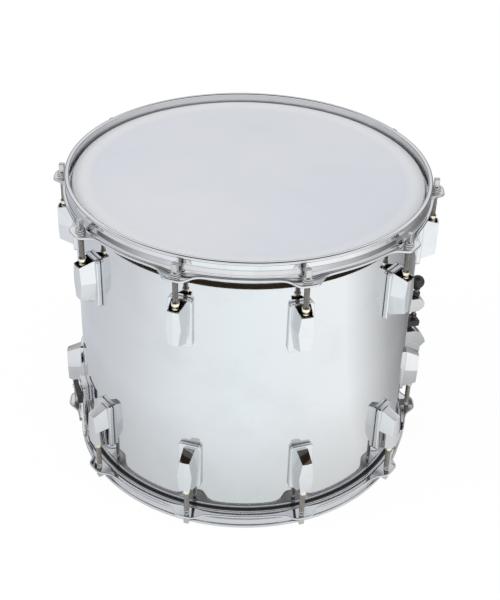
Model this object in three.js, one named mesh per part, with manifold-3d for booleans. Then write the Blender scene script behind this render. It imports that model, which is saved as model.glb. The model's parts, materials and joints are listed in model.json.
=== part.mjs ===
// Marching snare drum, 14 by 12 inches: a polished steel shell with a head at each end. A counter hoop
// and ten tension rods pull each head tight, and snare wires with a throw-off cross the lower head.
// Millimetres, +Z up. The origin is on the drum's axis, in the plane that the bottom hoop's bead stands on.
import * as THREE from "three";
import { mergeVertices } from "three/addons/utils/BufferGeometryUtils.js";
import { ConvexGeometry } from "three/addons/geometries/ConvexGeometry.js";
import Module from "manifold-3d";

const wasm = await Module();
wasm.setup();

// Driving dimensions
const shellRadius = 177.8; // a 14 inch shell
const shellLength = 304.8; // 12 inches deep
const shellWall = 1.6;
// The shell's turned-in ends
const bearingEdge = { crown: 2.8, crownWidth: 1, round: 2, depth: 6, reach: 8, under: 1.4 };
const hoopStand = 9.2; // how far a hoop's bead stands past the bearing edge
const height = shellLength + 2 * hoopStand;
const lugCount = 10; // for each head
const lugPitch = 360 / lugCount;
const bottomRingTurn = 2.9; // degrees that the bottom ring of lugs is turned from the top ring
const rodCircle = 190.9; // radius of the circle that the tension rods stand on
const rodRadius = 2.75;
const roundSteps = 60; // facets round the shell and heads
const gap = 0.3; // between pieces that touch
const frameTurn = 27; // turns the whole drum so that the throw-off stands half way between +X and +Y

// Hoop section, as radii and as depths below the plane of its bead
const hoop = {
  innerRadius: 180.6,
  beadRadius: 185.4,
  beadDepth: 3.6,
  collarRadius: 182.6,
  stepDepth: 10.4,
  stepThickness: 2,
  skirtInner: 183.5,
  skirtRadius: 185.1,
  flangeTop: 17.9,
  flangeUnder: 19.7,
  flangeRadius: 189.5,
  lipDepth: 21.6,
  earRadius: 199.4,
  earLipDepth: 20.2,
  sheet: 1.7,
};
const earHoleRadius = 3.4;
// Half of one lug pitch: angle from the rod, share of the ear that is left there
const earShape = [
  [0, 1],
  [2.4, 0.93],
  [5.2, 0.2],
  [10, 0.03],
  [18, 0],
];
const gate = { width: 27, top: 4.2, reach: 30 }; // the snare gate cut through the bottom hoop

const flesh = { inner: 179.4, outer: 182.9, top: hoop.stepDepth + hoop.stepThickness + gap, depth: 7 };
const film = { thickness: 0.5, collarRadius: 178.9, flatRadius: 177, shoulder: 1, bend: 3.4, hem: 1 };

// Lug: a plate on the shell and a faceted body, as depths below the bead plane
const plate = { back: shellRadius + 0.4, front: 182.3, halfWidth: 12, top: 48, bottom: 102, corner: 3 };
const lugBody = {
  back: 180,
  front: 197.5,
  open: { plateDepth: 49, plateHalf: 8.2, frontDepth: 54, frontHalf: 5.7 },
  middle: { plateDepth: 74, plateHalf: 10, frontDepth: 72, frontHalf: 7.8 },
  closed: { plateDepth: 98.5, plateHalf: 6.2, frontDepth: 91, frontHalf: 5.2 },
  wall: 1.5,
};
const swivelNut = { radius: 4.7, top: 46.6, bottom: 60, bore: 3.3, saddle: 2 };

// Tension rod, as depths below the bead plane
const rod = {
  headTop: 5.1,
  squareSize: 6.2,
  squareBottom: 13.4,
  collarRadius: 4.1,
  washerTop: 16.2,
  washerRadius: 5.3,
  washerBottom: hoop.flangeTop - gap,
  tip: 68,
  sides: 8,
};

// Snare throw-off and butt, on opposite sides, half way between two lugs
const strainerAngle = 18;
const buttAngle = strainerAngle + 180;
const housing = {
  back: shellRadius + 0.5,
  plateFront: 181.4,
  plateHalf: 15,
  bottom: 56,
  top: 150,
  blockFront: 203,
  blockHalf: 11.4,
  blockBottom: 58,
  blockTop: 92,
  railFront: 192,
  railInner: 8.4,
  railTop: 146,
  earFront: 212,
  earTop: 71,
};
const lever = {
  pivotRadius: 208,
  pivotHeight: 63,
  halfWidth: 8,
  boss: 4,
  bore: 2.1,
  pin: 1.7,
  back: 204.4,
  bend: 3.6,
  tip: { radius: 221, height: 71 },
  shoulder: { radius: 211.5, height: 87 },
  top: 90,
};
const slide = {
  halfWidth: 8,
  back: 182,
  bottom: 117.6,
  top: 134.4,
  front: 212.5,
  bevel: 5,
  tongueFront: 186,
  tongueBottom: 84,
  tongueHalf: 5,
};
const screw = {
  radius: 2.3,
  axis: 204.5,
  bottom: 104.6,
  knobCentre: 153,
  knobRadius: 7.8,
  knobBase: 145.4,
  bore: 2.8,
  collar: { radius: 3.6, low: 107, high: 109 },
  nut: { radius: 3.8, low: 114.2, high: 117.2 },
  lockNutRadius: 4.4,
  lockNutHeight: 5.4,
};
const strapClamp = { back: 187, front: 209.5, halfWidth: 8, bottom: 96, top: 104.2 };
const strap = {
  halfWidth: 6.5,
  thickness: 0.8,
  underside: 6,
  end: 161,
  bend: 1.8,
  buttRadius: 184.5,
  strainerRadius: 188.2,
};
const wires = {
  end: 160.6,
  plateLength: 15,
  plateHalf: 27,
  plateThickness: 1,
  strands: 14,
  strand: 1.4,
  inset: 8,
  margin: 2,
  bottom: 6.1,
};
const butt = {
  baseFront: 182.4,
  baseHalf: 10,
  plateFront: 184.2,
  topHalf: 15,
  lowHalf: 8.5,
  top: 83,
  shoulder: 62,
  bottom: 42,
  clampBack: strap.buttRadius + strap.thickness + gap,
  clampFront: 191.2,
  clampHalf: 16,
  clampBottom: 65,
  clampTop: 75,
  screwRadius: 2.4,
  screwFront: 193,
  screwSide: 11,
  screwDepth: 5,
};
const vent = { height: height / 2, radius: 8.5, bore: 4.5, neck: 5.8, lip: 1.6, clear: 0.2 };

// Finishes
const finish = (colour, roughness, metalness) =>
  new THREE.MeshStandardMaterial({ color: colour, roughness, metalness });
const chrome = () => finish(0xd9dde2, 0.08, 1);
const polishedSteel = () => finish(0xd2d5da, 0.12, 1);
const zincSteel = () => finish(0x8f8a80, 0.35, 1);
const headFilm = () => finish(0xe6ebf0, 0.45, 0);
const satinAluminium = () => finish(0xb9bcc0, 0.4, 1);
const blackPlastic = () => finish(0x141416, 0.4, 0);
const strapPlastic = () => finish(0xdfe2e0, 0.5, 0);

const degrees = (value) => (value * Math.PI) / 180;

// A closed three.js geometry as a manifold solid, and back again
function solidOf(geometry) {
  const bare = new THREE.BufferGeometry();
  const source = geometry.index ? geometry.toNonIndexed() : geometry;
  bare.setAttribute("position", source.getAttribute("position"));
  const merged = mergeVertices(bare, 1e-4);
  const vertProperties = merged.attributes.position.array;
  const triVerts = new Uint32Array(merged.index.array);
  return new wasm.Manifold(new wasm.Mesh({ numProp: 3, vertProperties, triVerts }));
}

function geometryOf(solid) {
  const mesh = solid.getMesh();
  const geometry = new THREE.BufferGeometry();
  geometry.setAttribute("position", new THREE.BufferAttribute(mesh.vertProperties, 3));
  geometry.setIndex(new THREE.BufferAttribute(mesh.triVerts, 1));
  const faceted = geometry.toNonIndexed();
  faceted.computeVertexNormals();
  return faceted;
}

const join = (...solids) => solids.reduce((whole, next) => whole.add(next));

// A box between two corners
function boxBetween(low, high) {
  const size = high.map((value, i) => value - low[i]);
  const box = new THREE.BoxGeometry(...size);
  box.translate(...high.map((value, i) => (value + low[i]) / 2));
  return solidOf(box);
}

// A profile of [radius, z] pairs, anticlockwise, turned about Z
function turned(profile, steps) {
  const points = profile.map(([radius, z]) => new THREE.Vector2(radius, z));
  const lathe = new THREE.LatheGeometry(points, steps);
  return lathe.rotateX(Math.PI / 2);
}

const closedRing = (profile, steps) => turned([...profile, profile[0]], steps);

// A profile of [radius, z] pairs that starts and ends on the axis, turned about an upright line at x = axis
function turnedAt(axis, profile, steps) {
  return solidOf(turned(profile, steps).translate(axis, 0, 0));
}

// A flat outline of [x, z] pairs, given a width along Y from -half to half
function sidePlate(outline, half) {
  const shape = new THREE.Shape(outline.map(([x, z]) => new THREE.Vector2(x, z)));
  const body = new THREE.ExtrudeGeometry(shape, { depth: 2 * half, bevelEnabled: false });
  return solidOf(body.rotateX(Math.PI / 2).translate(0, half, 0));
}

// A flat outline of [y, z] pairs, given a thickness along X from back to front
function facePlate(outline, back, front) {
  const shape = new THREE.Shape(outline.map(([y, z]) => new THREE.Vector2(y, z)));
  const body = new THREE.ExtrudeGeometry(shape, { depth: front - back, bevelEnabled: false });
  return solidOf(body.rotateX(Math.PI / 2).rotateZ(Math.PI / 2).translate(back, 0, 0));
}

// A pin along Y through x, z
function crossPin(x, z, radius, half, sides) {
  const pin = new THREE.CylinderGeometry(radius, radius, 2 * half, sides);
  return solidOf(pin.translate(x, 0, z));
}

// A rod along Z through x, between two heights
function uprightPin(x, low, high, radius, sides) {
  const pin = new THREE.CylinderGeometry(radius, radius, high - low, sides);
  return solidOf(pin.rotateX(Math.PI / 2).translate(x, 0, (low + high) / 2));
}

// Shell: a thin tube with both ends turned in to make the bearing edges, and a hole for the air vent
function shell() {
  const r = shellRadius;
  const edge = bearingEdge;
  const low = hoopStand;
  const high = hoopStand + shellLength;
  const lipInner = r - edge.reach;
  const crownInner = r - edge.crown;
  const crownOuter = crownInner + edge.crownWidth;
  const tube = solidOf(
    closedRing(
      [
        [lipInner, low + edge.depth],
        [crownInner, low],
        [crownOuter, low],
        [r, low + edge.round],
        [r, high - edge.round],
        [crownOuter, high],
        [crownInner, high],
        [lipInner, high - edge.depth],
        [lipInner + 1, high - edge.depth - edge.under],
        [r - shellWall, high - edge.round - edge.under],
        [r - shellWall, low + edge.round + edge.under],
        [lipInner + 1, low + edge.depth + edge.under],
      ],
      roundSteps,
    ),
  );
  const hole = new THREE.CylinderGeometry(vent.neck + gap, vent.neck + gap, 4 * vent.neck, 16);
  hole.rotateZ(Math.PI / 2).translate(r, 0, vent.height).rotateZ(Math.PI / 2);
  return geometryOf(tube.subtract(solidOf(hole)));
}

// Air vent: a grommet with a lip on each side of the shell
function ventGrommet() {
  const inner = shellRadius - shellWall - gap;
  const outer = shellRadius + gap;
  const section = [
    [vent.bore, inner - vent.lip],
    [vent.radius, inner - vent.lip],
    [vent.radius, inner - vent.clear],
    [vent.neck, inner - vent.clear],
    [vent.neck, outer + vent.clear],
    [vent.radius, outer + vent.clear],
    [vent.radius, outer + vent.lip],
    [vent.bore, outer + vent.lip],
  ];
  const grommet = closedRing(section, 16);
  return grommet.rotateX(-Math.PI / 2).translate(0, 0, vent.height);
}

// The pieces of one end of the drum are drawn with the bead plane at z = 0 and the drum below it.

// Head: a flat film with a collar that turns down outside the shell
function head() {
  const top = film.thickness + gap - hoopStand;
  const under = top - film.thickness;
  const collar = film.collarRadius;
  const hem = -flesh.top - flesh.depth + film.hem;
  const profile = [
    [0, under],
    [film.flatRadius, under],
    [film.flatRadius + film.shoulder, under - film.shoulder],
    [collar - film.thickness, under - film.bend],
    [collar - film.thickness, hem],
    [collar, hem],
    [collar, top - film.bend],
    [collar - film.thickness, top - film.shoulder],
    [film.flatRadius, top],
    [0, top],
  ];
  return turned(profile, roundSteps);
}

// Flesh hoop: the ring at the head's rim that the counter hoop pulls down
function fleshHoop() {
  const low = -flesh.top - flesh.depth;
  const high = -flesh.top;
  const profile = [
    [flesh.inner, low],
    [flesh.outer, low],
    [flesh.outer, high],
    [flesh.inner, high],
  ];
  return closedRing(profile, roundSteps);
}

// The hoop's section where the flange reaches a share of the way from its plain edge to the tip of an ear
function hoopSection(earShare) {
  const edge = hoop.flangeRadius + earShare * (hoop.earRadius - hoop.flangeRadius);
  const lip = hoop.lipDepth + earShare * (hoop.earLipDepth - hoop.lipDepth);
  return [
    [hoop.innerRadius, -hoop.stepDepth - hoop.stepThickness],
    [hoop.skirtInner, -hoop.stepDepth - hoop.stepThickness],
    [hoop.skirtInner, -hoop.flangeUnder],
    [edge - hoop.sheet, -hoop.flangeUnder],
    [edge - hoop.sheet, -lip],
    [edge, -lip],
    [edge, -hoop.flangeTop],
    [hoop.skirtRadius, -hoop.flangeTop],
    [hoop.skirtRadius, -hoop.stepDepth - 1],
    [hoop.collarRadius, -hoop.stepDepth],
    [hoop.collarRadius, -hoop.beadDepth],
    [hoop.beadRadius, -hoop.beadDepth],
    [hoop.beadRadius, 0],
    [hoop.innerRadius, 0],
  ];
}

// The angles of the hoop's sections round the drum, each with its share of an ear
function hoopStations() {
  const side = earShape.slice(1, -1);
  const pitch = [[-lugPitch / 2, 0], ...side.map(([a, s]) => [-a, s]).reverse(), earShape[0], ...side];
  const stations = [];
  for (let i = 0; i < lugCount; i++) {
    for (const [angle, share] of pitch) {
      stations.push({ angle: degrees(i * lugPitch + angle), share });
    }
  }
  stations.push({ angle: stations[0].angle + 2 * Math.PI, share: stations[0].share });
  return stations;
}

// Counter hoop: a flanged ring whose lower flange swells into an ear at each tension rod
function counterHoop(gates) {
  const stations = hoopStations();
  const section = hoopSection(0);
  const ring = closedRing(section, stations.length - 1);
  const position = ring.getAttribute("position");
  stations.forEach(({ angle, share }, i) => {
    const points = hoopSection(share);
    points.push(points[0]);
    points.forEach(([radius, z], j) => {
      position.setXYZ(i * points.length + j, radius * Math.cos(angle), radius * Math.sin(angle), z);
    });
  });
  let solid = solidOf(ring);
  for (let i = 0; i < lugCount; i++) {
    const hole = uprightPin(rodCircle, -hoop.lipDepth - 2, -hoop.flangeTop + 2, earHoleRadius, rod.sides);
    solid = solid.subtract(hole.rotate([0, 0, i * lugPitch]));
  }
  for (const angle of gates) {
    const low = [hoop.innerRadius - 4, -gate.width / 2, -gate.reach];
    const high = [hoop.earRadius, gate.width / 2, -gate.top];
    solid = solid.subtract(boxBetween(low, high).rotate([0, 0, angle]));
  }
  return geometryOf(solid);
}

// Lug: bevel-cornered plate, faceted hollow body that is widest half way, and the swivel nut in its open end
function lug() {
  const { open, middle, closed, back, front, wall } = lugBody;
  const corner = plate.corner;
  const outline = [
    [-plate.halfWidth, -plate.bottom + corner],
    [-plate.halfWidth + corner, -plate.bottom],
    [plate.halfWidth - corner, -plate.bottom],
    [plate.halfWidth, -plate.bottom + corner],
    [plate.halfWidth, -plate.top - corner],
    [plate.halfWidth - corner, -plate.top],
    [-plate.halfWidth + corner, -plate.top],
    [-plate.halfWidth, -plate.top - corner],
  ];
  const faceted = (inset, openShift, floor) => {
    const points = [];
    for (const [station, shift] of [
      [open, openShift],
      [middle, 0],
      [closed, inset],
    ]) {
      for (const side of [-1, 1]) {
        const plateHalf = side * (station.plateHalf - inset);
        const frontHalf = side * (station.frontHalf - inset);
        points.push(new THREE.Vector3(floor, plateHalf, shift - station.plateDepth));
        points.push(new THREE.Vector3(front - inset, frontHalf, shift - station.frontDepth));
      }
    }
    return solidOf(new ConvexGeometry(points));
  };
  const body = faceted(0, 0, back);
  const hollow = faceted(wall, 12, plate.front + gap);
  const nut = uprightPin(rodCircle, -swivelNut.bottom, -swivelNut.top, swivelNut.radius, rod.sides);
  const saddle = boxBetween(
    [rodCircle, -swivelNut.saddle, -swivelNut.bottom],
    [front - wall / 2, swivelNut.saddle, -open.frontDepth - 1],
  );
  const bore = uprightPin(rodCircle, -rod.tip - 3, -swivelNut.top + 5, swivelNut.bore, rod.sides);
  const shellPlate = facePlate(outline, plate.back, plate.front);
  return geometryOf(join(join(shellPlate, body).subtract(hollow), nut, saddle).subtract(bore));
}

// Tension rod: a square key head and washer on a long threaded shank
function tensionRod() {
  const profile = [
    [0, -rod.tip],
    [rodRadius, -rod.tip],
    [rodRadius, -rod.washerBottom],
    [rod.washerRadius, -rod.washerBottom],
    [rod.washerRadius, -rod.washerTop],
    [rod.collarRadius, -rod.washerTop],
    [rod.collarRadius, -rod.squareBottom],
    [0, -rod.squareBottom],
  ];
  const half = rod.squareSize / 2;
  const key = boxBetween(
    [rodCircle - half, -half, -rod.squareBottom - 1],
    [rodCircle + half, half, -rod.headTop],
  );
  return geometryOf(join(turnedAt(rodCircle, profile, rod.sides), key));
}

// The throw-off and butt are drawn with x outwards from the drum's axis and y along the shell.

// Throw-off housing: base plate, hollow block, two guide rails and the ears and pin of the lever
function strainerHousing() {
  const h = housing;
  const parts = [
    boxBetween([h.back, -h.plateHalf, h.bottom], [h.plateFront, h.plateHalf, h.top]),
    boxBetween([h.plateFront - 1, -h.blockHalf, h.blockBottom], [h.blockFront, h.blockHalf, h.blockTop]),
    crossPin(lever.pivotRadius, lever.pivotHeight, lever.pin, h.blockHalf - 1, 8),
  ];
  for (const side of [-1, 1]) {
    const near = Math.min(side * h.railInner, side * h.blockHalf);
    const far = Math.max(side * h.railInner, side * h.blockHalf);
    parts.push(boxBetween([h.plateFront - 1, near, h.blockTop - 1], [h.railFront, far, h.railTop]));
    parts.push(boxBetween([h.blockFront - 1, near, h.blockBottom], [h.earFront, far, h.earTop]));
  }
  const slotHalf = slide.tongueHalf + 1;
  const tongueSlot = boxBetween(
    [h.plateFront, -slotHalf, slide.tongueBottom - 4],
    [slide.tongueFront + 2 * gap, slotHalf, h.blockTop + 1],
  );
  const strapSlot = boxBetween(
    [strap.strainerRadius - 0.8, -strap.halfWidth - 1, h.blockBottom - 1],
    [strap.strainerRadius + 2, strap.halfWidth + 1, h.blockTop + 1],
  );
  return geometryOf(join(...parts).subtract(tongueSlot).subtract(strapSlot));
}

// Throw-off lever: a finger piece with a ridged back on a round boss
function strainerLever() {
  const x = lever.pivotRadius;
  const z = lever.pivotHeight;
  const grip = sidePlate(
    [
      [lever.back, z],
      [x + 1, z - lever.bend],
      [lever.tip.radius, lever.tip.height],
      [lever.shoulder.radius, lever.shoulder.height],
      [lever.back, lever.top],
    ],
    lever.halfWidth,
  );
  const boss = crossPin(x, z, lever.boss, lever.halfWidth, 12);
  const bore = crossPin(x, z, lever.bore, lever.halfWidth + 1, 12);
  return geometryOf(join(grip, boss).subtract(bore));
}

// Slide: the block that carries the tension screw, on a tongue that the lever moves
function strainerSlide() {
  const s = slide;
  const block = sidePlate(
    [
      [s.back, s.bottom],
      [s.front - s.bevel - 1, s.bottom],
      [s.front, s.bottom + s.bevel],
      [s.front, s.top - s.bevel],
      [s.front - s.bevel - 1, s.top],
      [s.back, s.top],
    ],
    s.halfWidth,
  );
  const tongueLow = [s.back, -s.tongueHalf, s.tongueBottom];
  const tongue = boxBetween(tongueLow, [s.tongueFront, s.tongueHalf, s.bottom + 1]);
  const bore = uprightPin(screw.axis, s.bottom - 1, s.top + 1, screw.bore, 10);
  return geometryOf(join(block, tongue).subtract(bore));
}

// Tension screw: round black knob on a threaded stem with a brass nut and a stop collar
function adjusterScrew() {
  const { radius, collar, nut, knobCentre, knobRadius } = screw;
  const profile = [
    [0, screw.bottom],
    [radius, screw.bottom],
    [radius, collar.low],
    [collar.radius, collar.low],
    [collar.radius, collar.high],
    [radius, collar.high],
    [radius, nut.low],
    [nut.radius, nut.low],
    [nut.radius, nut.high],
    [radius, nut.high],
    [radius, screw.knobBase],
  ];
  const knobSteps = 5;
  for (let i = 1; i < knobSteps; i++) {
    const turn = degrees(-60 + (150 * i) / knobSteps);
    profile.push([knobRadius * Math.cos(turn), knobCentre + knobRadius * Math.sin(turn)]);
  }
  profile.push([0, knobCentre + knobRadius]);
  return geometryOf(turnedAt(screw.axis, profile, 10));
}

// Lock nut: a small round nut that sits on the slide and holds the screw's setting
function lockNut() {
  const low = slide.top + gap;
  const high = low + screw.lockNutHeight;
  const section = [
    [screw.bore, low],
    [screw.lockNutRadius, low],
    [screw.lockNutRadius, high],
    [screw.bore, high],
  ];
  return closedRing(section, 10).translate(screw.axis, 0, 0);
}

// Strap clamp: the block on the screw's lower end that the strap hangs from
const strainerStrapClamp = () =>
  geometryOf(
    boxBetween(
      [strapClamp.back, -strapClamp.halfWidth, strapClamp.bottom],
      [strapClamp.front, strapClamp.halfWidth, strapClamp.top],
    ),
  );

// Strap: down outside the hoop, in through the gate and on to the snare wires
function snareStrap(radius, top) {
  const t = strap.thickness;
  const low = strap.underside;
  return geometryOf(
    sidePlate(
      [
        [strap.end, low],
        [radius + t - strap.bend, low],
        [radius + t, low + strap.bend],
        [radius + t, top],
        [radius, top],
        [radius, low + strap.bend + t],
        [radius - strap.bend, low + t],
        [strap.end, low + t],
      ],
      strap.halfWidth,
    ),
  );
}

// Butt: a tapered plate on a base block
function buttPlate() {
  const baseLow = [housing.back, -butt.baseHalf, butt.shoulder];
  const base = boxBetween(baseLow, [butt.baseFront, butt.baseHalf, butt.top]);
  const outline = [
    [-butt.lowHalf, butt.bottom],
    [butt.lowHalf, butt.bottom],
    [butt.topHalf, butt.shoulder],
    [butt.topHalf, butt.top],
    [-butt.topHalf, butt.top],
    [-butt.topHalf, butt.shoulder],
  ];
  return geometryOf(join(base, facePlate(outline, butt.baseFront - 0.5, butt.plateFront)));
}

// Butt clamp: the black bar and its two screws, which pinch the strap against the butt
function buttClamp() {
  const bar = boxBetween(
    [butt.clampBack, -butt.clampHalf, butt.clampBottom],
    [butt.clampFront, butt.clampHalf, butt.clampTop],
  );
  const middle = (butt.clampBottom + butt.clampTop) / 2;
  const screws = [-butt.screwSide, butt.screwSide].map((y) => {
    const pin = new THREE.CylinderGeometry(butt.screwRadius, butt.screwRadius, butt.screwDepth, 10);
    return solidOf(pin.rotateZ(Math.PI / 2).translate(butt.screwFront - butt.screwDepth / 2, y, middle));
  });
  return geometryOf(join(bar, ...screws));
}

// Snare wires: a row of strands across the bottom head between two end plates
function snareWires() {
  const parts = [];
  for (const side of [-1, 1]) {
    const near = side * (wires.end - wires.plateLength);
    const far = side * wires.end;
    const low = [Math.min(near, far), -wires.plateHalf, wires.bottom];
    const high = [Math.max(near, far), wires.plateHalf, wires.bottom + wires.plateThickness];
    parts.push(boxBetween(low, high));
  }
  const reach = wires.end - wires.inset;
  const outermost = wires.plateHalf - wires.margin;
  const spacing = (2 * outermost) / (wires.strands - 1);
  const strandBottom = wires.bottom + wires.plateThickness / 2;
  for (let i = 0; i < wires.strands; i++) {
    const y = -outermost + i * spacing;
    const half = wires.strand / 2;
    const low = [-reach, y - half, strandBottom];
    const high = [reach, y + half, strandBottom + wires.strand];
    parts.push(boxBetween(low, high));
  }
  return geometryOf(join(...parts));
}

const drum = new THREE.Group();
drum.rotation.z = degrees(frameTurn);

function addMesh(group, name, geometry, material) {
  const mesh = new THREE.Mesh(geometry, material);
  mesh.name = name;
  group.add(mesh);
  return mesh;
}

const twoDigits = (value) => String(value).padStart(2, "0");

// One end of the drum. A turn of the group about X lays the same pieces out at the bottom, upside down, so a
// piece that should stand at a given angle there is drawn at minus that angle.
function drumEnd(names, side, direction, gates) {
  const end = new THREE.Group();
  addMesh(end, names.head, head(), headFilm());
  addMesh(end, names.flesh, fleshHoop(), satinAluminium());
  addMesh(end, names.hoop, counterHoop(gates), chrome());
  const lugGeometry = lug();
  const rodGeometry = tensionRod();
  for (let i = 0; i < lugCount; i++) {
    const number = twoDigits(i + 1);
    const station = new THREE.Group();
    station.rotation.z = direction * degrees(i * lugPitch);
    addMesh(station, `${side}_lug_${number}`, lugGeometry, chrome());
    addMesh(station, `${side}_tension_rod_${number}`, rodGeometry, zincSteel());
    end.add(station);
  }
  return end;
}

addMesh(drum, "shell", shell(), polishedSteel());
addMesh(drum, "vent_grommet", ventGrommet(), chrome());

const topNames = { head: "batter_head", flesh: "batter_flesh_hoop", hoop: "batter_hoop" };
const topEnd = drumEnd(topNames, "top", 1, []);
topEnd.position.z = height;
drum.add(topEnd);

const bottomNames = { head: "snare_side_head", flesh: "snare_side_flesh_hoop", hoop: "snare_side_hoop" };
const gateAngles = [bottomRingTurn - strainerAngle, bottomRingTurn - buttAngle];
const bottomEnd = drumEnd(bottomNames, "bottom", -1, gateAngles);
bottomEnd.rotation.set(Math.PI, 0, degrees(bottomRingTurn), "ZYX");
drum.add(bottomEnd);

const strainer = new THREE.Group();
strainer.rotation.z = degrees(strainerAngle);
addMesh(strainer, "strainer_housing", strainerHousing(), chrome());
addMesh(strainer, "strainer_lever", strainerLever(), chrome());
addMesh(strainer, "strainer_slide", strainerSlide(), chrome());
addMesh(strainer, "adjuster_screw", adjusterScrew(), blackPlastic());
addMesh(strainer, "adjuster_lock_nut", lockNut(), blackPlastic());
addMesh(strainer, "strainer_strap_clamp", strainerStrapClamp(), blackPlastic());
const hangingStrap = snareStrap(strap.strainerRadius, strapClamp.bottom - gap);
addMesh(strainer, "strainer_strap", hangingStrap, strapPlastic());
addMesh(strainer, "snare_wires", snareWires(), zincSteel());
drum.add(strainer);

const buttEnd = new THREE.Group();
buttEnd.rotation.z = degrees(buttAngle);
addMesh(buttEnd, "butt_plate", buttPlate(), satinAluminium());
addMesh(buttEnd, "butt_clamp", buttClamp(), blackPlastic());
addMesh(buttEnd, "butt_strap", snareStrap(strap.buttRadius, butt.clampTop), strapPlastic());
drum.add(buttEnd);

export default drum;
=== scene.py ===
import json
import math
import bmesh
import bpy
from mathutils import Matrix, Vector


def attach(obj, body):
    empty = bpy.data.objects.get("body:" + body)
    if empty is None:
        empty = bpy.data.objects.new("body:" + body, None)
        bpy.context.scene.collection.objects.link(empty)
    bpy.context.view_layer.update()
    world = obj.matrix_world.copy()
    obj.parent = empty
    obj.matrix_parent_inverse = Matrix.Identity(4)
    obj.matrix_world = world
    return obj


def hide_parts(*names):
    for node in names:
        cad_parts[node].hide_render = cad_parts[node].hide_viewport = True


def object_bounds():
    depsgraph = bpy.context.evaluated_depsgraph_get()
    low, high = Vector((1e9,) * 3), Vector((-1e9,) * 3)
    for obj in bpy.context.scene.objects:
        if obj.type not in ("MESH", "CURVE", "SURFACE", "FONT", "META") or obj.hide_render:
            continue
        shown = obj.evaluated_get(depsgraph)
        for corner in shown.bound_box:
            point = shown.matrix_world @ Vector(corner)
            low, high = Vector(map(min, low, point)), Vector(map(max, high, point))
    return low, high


# Marching snare drum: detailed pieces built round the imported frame.
# Meshes are made in millimetres, with z = 0 in the bead plane of a drum end or on the floor,
# and their places scale them to metres.
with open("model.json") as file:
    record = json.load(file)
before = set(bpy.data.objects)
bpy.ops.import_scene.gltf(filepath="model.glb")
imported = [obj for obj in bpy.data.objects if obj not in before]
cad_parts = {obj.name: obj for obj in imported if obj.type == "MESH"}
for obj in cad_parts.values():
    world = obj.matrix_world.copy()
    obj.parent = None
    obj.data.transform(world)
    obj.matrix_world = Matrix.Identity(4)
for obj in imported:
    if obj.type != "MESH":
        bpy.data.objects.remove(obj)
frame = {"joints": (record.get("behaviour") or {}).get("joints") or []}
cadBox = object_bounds()
mm = 0.001
scene = bpy.context.scene
scene.view_settings.view_transform = "Standard"
jointAt = {joint["child"]: Vector(joint.get("pos_m", (0, 0, 0))) for joint in frame["joints"]}


# ---- camera, floor and light

def makeCamera():
    view = {"spot": (0.4872, -0.9055, 0.8483), "heading": 27.996, "tip": 56.226, "roll": 1.833,
            "lens": 67.95, "sensor": 36}
    data = bpy.data.cameras.new("camera")
    data.lens = view["lens"]
    data.sensor_width = view["sensor"]
    camera = bpy.data.objects.new("camera", data)
    scene.collection.objects.link(camera)
    turn = Matrix.Rotation(math.radians(view["heading"]), 4, "Z")
    turn = turn @ Matrix.Rotation(math.radians(view["tip"]), 4, "X")
    turn = turn @ Matrix.Rotation(math.radians(view["roll"]), 4, "Z")
    camera.matrix_world = Matrix.Translation(view["spot"]) @ turn
    scene.camera = camera


studio = {
    "floorHalf": 25.0, "floorDrop": 0.0003, "floorGlow": 0.93, "floorColour": (0.10, 0.10, 0.10, 1),
    "front": -61.72,  # heading, in degrees from +X, of the side that faces the camera
    # painted reflection: what polished metal sees of the floor, from straight behind round by the left, the
    # front and the right
    "cardGlow": 1.36,
    "cardRing": [(0.0, (0.44, 0.46, 0.51)), (0.175, (0.545, 0.57, 0.61)), (0.305, (0.69, 0.705, 0.73)),
                 (0.42, (0.86, 0.90, 0.93)), (0.50, (0.91, 0.96, 0.98)), (0.66, (0.97, 0.985, 0.99)),
                 (0.755, (0.47, 0.475, 0.48)), (0.84, (0.19, 0.185, 0.19)), (1.0, (0.44, 0.46, 0.51))],
    # and how that changes with the distance from the drum's axis, as a share of cardReach metres; darker close
    # to the drum as a painted shadow
    "cardReach": 2.0,
    "cardBand": [(0.10, (0.72, 0.71, 0.70)), (0.17, (0.97, 0.97, 0.97)), (0.30, (1, 1, 1)),
                 (0.45, (1, 1, 1)), (0.80, (0.80, 0.80, 0.80))],
    # painted shade: a dark glowing ring round the shell, close under the upper hoop, that only reflections
    # see, so the shell shows a dark band right under the hoop
    "shadeRingInner": 195.0, "shadeRingOuter": 206.0, "shadeRingHeight": 280.0, "shadeRingColour": (0.030, 0.020, 0.012, 1),
    # what it sees above the horizon, by the sine of the elevation, behind the drum and in front of it
    "skyGlow": 1.5,
    "skyBehind": [(0.0, (0.07, 0.07, 0.075)), (0.22, (0.16, 0.16, 0.165)), (0.42, (0.62, 0.62, 0.63)),
                  (0.60, (0.74, 0.75, 0.77)), (0.72, (0.42, 0.43, 0.45)), (0.86, (0.13, 0.125, 0.13)),
                  (1.0, (0.07, 0.06, 0.06))],
    "skyFront": [(0.0, (0.16, 0.16, 0.165)), (0.18, (0.55, 0.55, 0.56)), (0.32, (1.0, 1.0, 1.0)),
                 (0.56, (0.92, 0.95, 0.98)), (0.74, (0.28, 0.27, 0.27)), (0.88, (0.09, 0.08, 0.08)),
                 (1.0, (0.07, 0.06, 0.06))],
}


def addRamp(nodes, links, value, stops):
    ramp = nodes.new("ShaderNodeValToRGB")
    elements = ramp.color_ramp.elements
    while len(elements) > 1:
        elements.remove(elements[-1])
    elements[0].position, elements[0].color = stops[0][0], (*stops[0][1], 1)
    for position, colour in stops[1:]:
        elements.new(position).color = (*colour, 1)
    links.new(value, ramp.inputs["Fac"])
    return ramp.outputs["Color"]


def stagedSheet(name, points, faces):
    mesh = bpy.data.meshes.new(name)
    mesh.from_pydata(points, [], faces)
    sheet = bpy.data.objects.new(name, mesh)
    scene.collection.objects.link(sheet)
    paint, nodes, links, shader = newMaterial(name)
    mesh.materials.append(paint)
    return sheet, nodes, links, shader


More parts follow.
